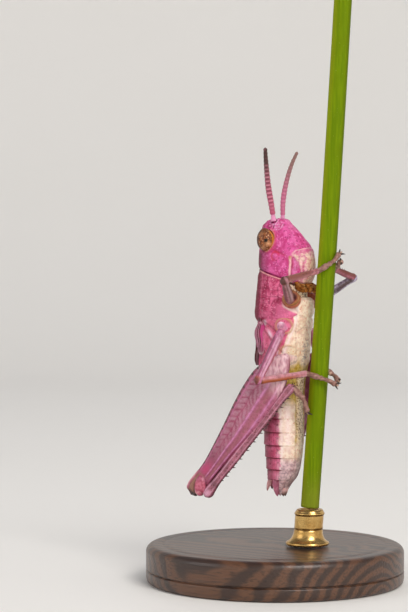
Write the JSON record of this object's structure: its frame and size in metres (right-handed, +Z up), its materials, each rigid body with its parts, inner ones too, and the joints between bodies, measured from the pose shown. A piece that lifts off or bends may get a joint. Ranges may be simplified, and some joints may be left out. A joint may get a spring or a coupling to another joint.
{
  "type": "grasshopper nymph model",
  "caption": "Life-size still model of a pink meadow grasshopper nymph clinging head up to a cut grass stem on a small round display stand.",
  "frame": {"origin": "middle of the stand's underside", "axes": "+Z up, towards the animal's head; +X from its back to its belly and the stem; -Y its right side"},
  "size_m": [0.015, 0.015, 0.0345],
  "materials": {
    "stand_wood": "satin dark walnut",
    "stand_brass": "satin",
    "stem": "smooth green grass stem with a soft gloss",
    "eye": "glossy faceted brown",
    "feeler": "ringed, pink at the base to dark brown at the tip",
    "head_cuticle": "pink pitted cuticle with a cream lip",
    "mouthparts": "amber brown",
    "collar_cuticle": "pink pitted cuticle",
    "chest_cuticle": "cream cuticle with pink specks",
    "abdomen_cuticle": "pink back, cream sides, greyish speckled belly and tip",
    "wing_pad": "dull pink with pale veins",
    "leg_cuticle": "pale pink cuticle",
    "hind_leg_cuticle": "mauve pink cuticle with a herringbone face",
    "foot": "brownish grey with dark claws"
  },
  "bodies": {
    "root": {"abdomen_base": "abdomen_cuticle", "abdomen_middle": "abdomen_cuticle", "abdomen_tip": "abdomen_cuticle", "antenna_left": "feeler", "antenna_right": "feeler", "eye_left": "eye", "eye_right": "eye", "fore_coxa_left": "chest_cuticle", "fore_coxa_right": "chest_cuticle", "fore_femur_left": "leg_cuticle", "fore_femur_right": "leg_cuticle", "fore_tarsus_left": "foot", "fore_tarsus_right": "foot", "fore_tibia_left": "leg_cuticle", "fore_tibia_right": "leg_cuticle", "head": "head_cuticle", "hind_coxa_left": "chest_cuticle", "hind_coxa_right": "chest_cuticle", "hind_femur_left": "hind_leg_cuticle", "hind_femur_right": "hind_leg_cuticle", "hind_tarsus_left": "foot", "hind_tarsus_right": "foot", "hind_tibia_left": "hind_leg_cuticle", "hind_tibia_right": "hind_leg_cuticle", "mid_coxa_left": "chest_cuticle", "mid_coxa_right": "chest_cuticle", "mid_femur_left": "leg_cuticle", "mid_femur_right": "leg_cuticle", "mid_tarsus_left": "foot", "mid_tarsus_right": "foot", "mid_tibia_left": "leg_cuticle", "mid_tibia_right": "leg_cuticle", "mouthparts": "mouthparts", "ovipositor": "abdomen_cuticle", "perch_stem": "stem", "pronotum": "collar_cuticle", "stand_base": "stand_wood", "stand_rod": "stand_brass", "thorax": "chest_cuticle", "wing_pad_left": "wing_pad", "wing_pad_right": "wing_pad"}
  },
  "joints": []
}
